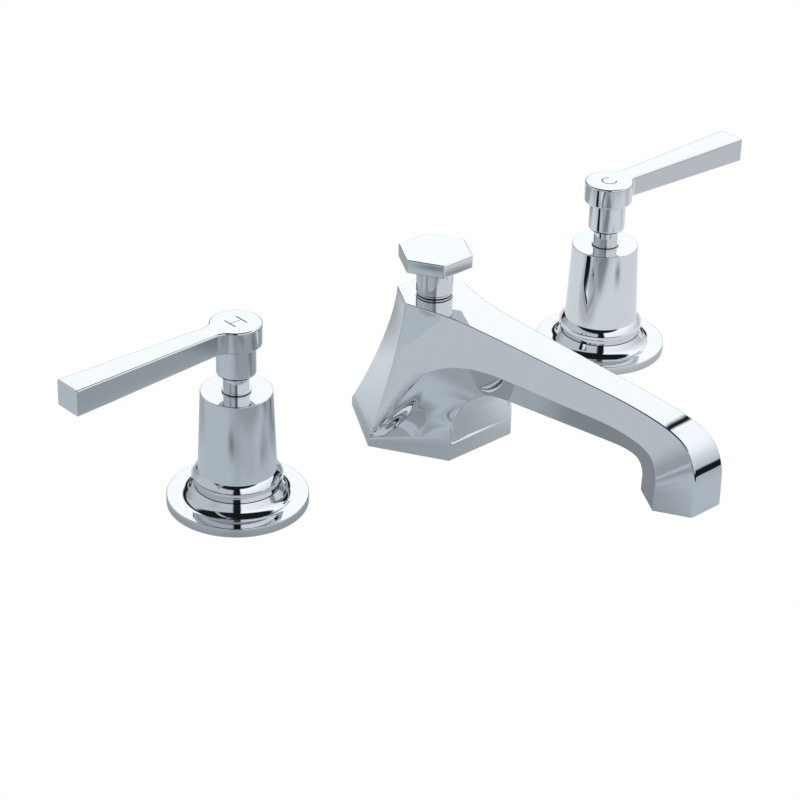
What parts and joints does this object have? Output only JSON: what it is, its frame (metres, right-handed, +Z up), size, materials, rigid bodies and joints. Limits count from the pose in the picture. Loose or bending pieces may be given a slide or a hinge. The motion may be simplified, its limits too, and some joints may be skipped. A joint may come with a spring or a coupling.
{
  "type": "widespread basin faucet",
  "caption": "Widespread basin faucet: hexagonal down-turned spout with a lift knob, lever handles on round tapered bodies, and valves, tee and clamping hardware below the deck.",
  "frame": {"origin": "the deck's top face, midway between the axes of the handles", "axes": "+X from the hot handle to the cold handle, +Z up from the deck, the spout points to -Y, towards the user"},
  "size_m": [0.36, 0.1821, 0.1913],
  "materials": {
    "chrome": "polished chrome plate on brass",
    "brass": "turned brass",
    "steel": "plain stainless steel",
    "rubber": "matte black rubber",
    "ceramic": null,
    "plastic": "moulded acetal"
  },
  "bodies": {
    "fixed": {"spout_body": "chrome", "spout_gasket": "rubber", "spout_shank": "brass", "spout_rubber_washer": "rubber", "spout_metal_washer": "steel", "spout_locknut": "brass", "water_tube": "steel", "tee_fitting": "brass", "aerator_shell": "chrome", "aerator_screen": "plastic", "aerator_washer": "rubber", "rod_bushing": "chrome", "hot_escutcheon": "chrome", "hot_sleeve": "chrome", "hot_stem_bushing": "plastic", "hot_deck_seal": "rubber", "hot_valve_body": "brass", "hot_outlet_nipple": "brass", "hot_cartridge": "brass", "hot_seat_seal": "rubber", "hot_fixed_disc": "ceramic", "hot_rubber_washer": "rubber", "hot_metal_washer": "steel", "hot_locknut": "brass", "cold_escutcheon": "chrome", "cold_sleeve": "chrome", "cold_stem_bushing": "plastic", "cold_deck_seal": "rubber", "cold_valve_body": "brass", "cold_outlet_nipple": "brass", "cold_cartridge": "brass", "cold_seat_seal": "rubber", "cold_fixed_disc": "ceramic", "cold_rubber_washer": "rubber", "cold_metal_washer": "steel", "cold_locknut": "brass"},
    "hot_lever": {"hot_handle": "chrome", "hot_stem_adapter": "chrome", "hot_spindle": "brass", "hot_moving_disc": "ceramic"},
    "cold_lever": {"cold_handle": "chrome", "cold_stem_adapter": "chrome", "cold_spindle": "brass", "cold_moving_disc": "ceramic"},
    "lift": {"lift_knob": "chrome", "lift_rod": "chrome"}
  },
  "joints": [
    {"name": "hot_turn", "type": "hinge", "parent": "fixed", "child": "hot_lever", "pos_m": [-0.1016, 0, 0], "axis": [0, 0, 1], "range_deg": [0, 90]},
    {"name": "cold_turn", "type": "hinge", "parent": "fixed", "child": "cold_lever", "pos_m": [0.1016, 0, 0], "axis": [0, 0, 1], "range_deg": [-90, 0]},
    {"name": "knob_lift", "type": "slide", "parent": "fixed", "child": "lift", "axis": [0, 0, 1], "range_m": [0, 0.03]}
  ]
}
